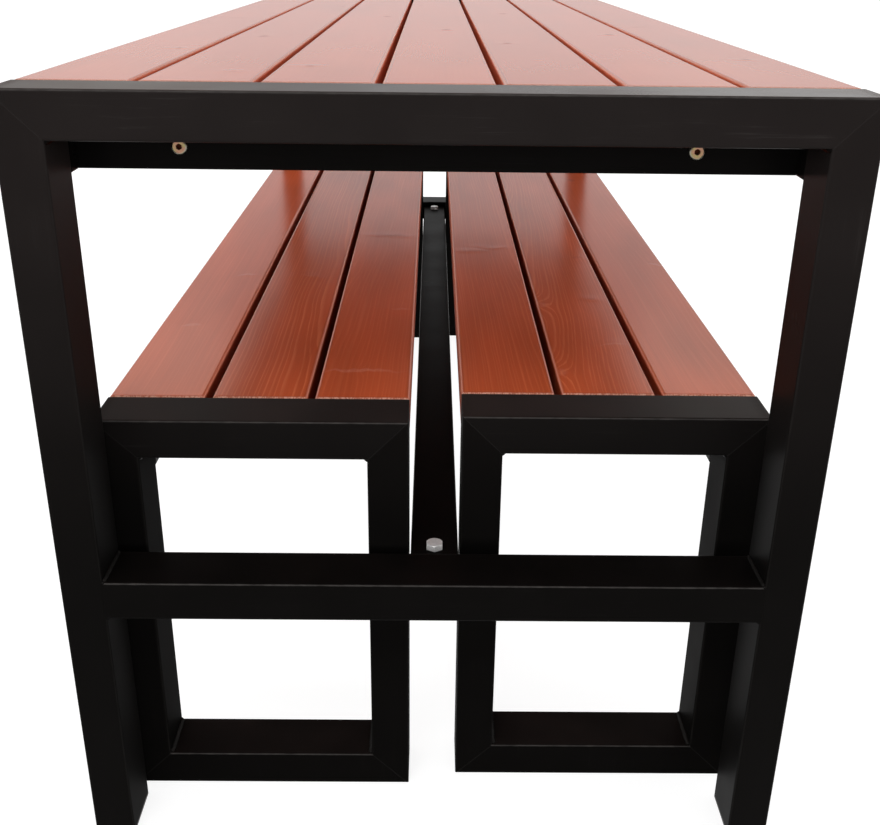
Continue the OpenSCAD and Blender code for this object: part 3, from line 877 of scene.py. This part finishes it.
class GARDEN_TABLE_OT_set_studio(Operator):
    """Pale floor, soft light from all round and overhead, and the camera"""

    bl_idname = "garden_table.set_studio"
    bl_label = "Set up the studio"

    def execute(self, context):
        studio = context.scene.garden_table.studio
        self.lay_floor(context, studio)
        self.light(context, studio)
        self.place_camera(context, studio)
        context.scene.view_settings.view_transform = "Standard"
        return {"FINISHED"}

    def lay_floor(self, context, studio):
        """The floor glows where it is seen, so that it looks evenly white round soft shadows."""
        grey, glow_strength = (0.35, 0.35, 0.35), 0.85
        half = studio.floor_size / 2
        data = bpy.data.meshes.new("studio_floor")
        data.from_pydata(
            [(-half, -half, 0), (half, -half, 0), (half, half, 0), (-half, half, 0)],
            [], [(0, 1, 2, 3)],
        )
        material = bpy.data.materials.new("white_floor")
        shader = Shader(material)
        matt = shader.add("BsdfDiffuse", None, out="BSDF", Color=grey)
        glow = shader.add(
            "Emission", None, out="Emission", Color=(1.0, 1.0, 1.0), Strength=glow_strength,
        )
        shown = shader.add("AddShader", None, matt, glow)
        plain = shader.add("BsdfDiffuse", None, out="BSDF", Color=studio.floor)
        surface = shader.add("MixShader", None, self.seen(shader), plain, shown)
        shader.add("OutputMaterial", None, Surface=surface)
        data.materials.append(material)
        floor = bpy.data.objects.new("studio_floor", data)
        context.scene.collection.objects.link(floor)

    def seen(self, shader):
        """1 where the camera, a reflection or glass looks, and 0 for the light's own paths."""
        node = shader.tree.nodes.new("ShaderNodeLightPath")
        camera, glossy, through = (
            Socket(shader, node.outputs["Is " + kind + " Ray"])
            for kind in ("Camera", "Glossy", "Transmission")
        )
        return shader.larger(shader.larger(camera, glossy), through)

    def light(self, context, studio):
        """Soft light from the sides and above, with a white background, and three lamps."""
        world = bpy.data.worlds.new("studio_world")
        context.scene.world = world
        shader = Shader(world)
        _, _, up = shader.split(shader.add("TexCoord", out="Generated"))
        strength = studio.horizon + shader.step(up, 0.1, 0.5) * (studio.zenith - studio.horizon)
        soft = shader.add("Background", None, Color=(1.0, 1.0, 1.0), Strength=strength)
        white = shader.add("Background", None, Color=(1.0, 1.0, 1.0), Strength=1.0)
        both = shader.add("MixShader", None, self.seen(shader), soft, white)
        shader.add("OutputWorld", None, Surface=both)
        self.lamp(
            context, "front_lamp", place=(-0.9, -2.9, 3.2), target=(0.0, -0.4, 0.5),
            width=1.2, height=0.8, power=studio.lamp,
        )
        for side, x in (("left", -1.35), ("right", 1.35)):
            self.lamp(
                context, side + "_panel", place=(x, 3.0, 2.25), target=(0.0, -0.5, 0.5),
                width=0.9, height=1.1, power=studio.panels, colour=(1.0, 0.93, 0.8),
            )

    def lamp(self, context, name, place, target, width, height, power, colour=(1.0, 1.0, 1.0)):
        """A soft rectangular lamp that looks at the target and that the camera doesn't see."""
        light = bpy.data.lights.new(name, "AREA")
        light.color = colour
        light.shape = "RECTANGLE"
        light.size, light.size_y = width, height
        light.energy = power
        lamp = bpy.data.objects.new(name, light)
        lamp.location = place
        lamp.rotation_euler = (Vector(target) - lamp.location).to_track_quat("-Z", "Y").to_euler()
        lamp.visible_camera = False
        context.scene.collection.objects.link(lamp)

    def place_camera(self, context, studio):
        """The camera stands in front of the near end, a little above the top, and looks down."""
        down, aside, roll = (math.radians(angle) for angle in CAMERA_ANGLES)
        forward = Vector((
            math.sin(aside) * math.cos(down), math.cos(aside) * math.cos(down), -math.sin(down),
        ))
        level = Vector((math.cos(aside), -math.sin(aside), 0.0))
        upright = level.cross(forward)
        right = level * math.cos(roll) - upright * math.sin(roll)
        up = level * math.sin(roll) + upright * math.cos(roll)
        camera = bpy.data.objects.new("camera", bpy.data.cameras.new("camera"))
        camera.data.lens = studio.lens
        camera.data.sensor_width = SENSOR_WIDTH
        turn = Matrix((right, up, -forward)).transposed().to_4x4()
        camera.matrix_world = Matrix.Translation(CAMERA_PLACE) @ turn
        context.scene.collection.objects.link(camera)
        context.scene.camera = camera


class GARDEN_TABLE_PT_panel(Panel):
    """Sizes, colours and steps of the garden table"""

    bl_idname = "GARDEN_TABLE_PT_panel"
    bl_label = "Garden table"
    bl_space_type = "VIEW_3D"
    bl_region_type = "UI"
    bl_category = "Garden table"

    def draw(self, context):
        settings = context.scene.garden_table
        for group in (
            settings.boards, settings.steel, settings.fasteners, settings.welds, settings.studio,
        ):
            box = self.layout.box()
            for key in group.bl_rna.properties.keys():
                if key not in ("rna_type", "name"):
                    box.prop(group, key)
        for operator in OPERATORS:
            self.layout.operator(operator.bl_idname)


OPERATORS = (
    GARDEN_TABLE_OT_coat_frames,
    GARDEN_TABLE_OT_glaze_boards,
    GARDEN_TABLE_OT_plate_fasteners,
    GARDEN_TABLE_OT_mould_foot_plugs,
    GARDEN_TABLE_OT_lay_welds,
    GARDEN_TABLE_OT_set_studio,
)
CLASSES = (
    BoardFinish, SteelFinish, FastenerFinish, WeldSizes, Studio, GardenTable,
    *OPERATORS, GARDEN_TABLE_PT_panel,
)


def register():
    for cls in CLASSES:
        bpy.utils.register_class(cls)
    bpy.types.Scene.garden_table = PointerProperty(type=GardenTable)


def unregister():
    del bpy.types.Scene.garden_table
    for cls in reversed(CLASSES):
        bpy.utils.unregister_class(cls)


def main():
    register()
    bpy.ops.garden_table.coat_frames()
    bpy.ops.garden_table.glaze_boards()
    bpy.ops.garden_table.plate_fasteners()
    bpy.ops.garden_table.mould_foot_plugs()
    bpy.ops.garden_table.lay_welds()
    bpy.ops.garden_table.set_studio()


if __name__ == "__main__":
    main()
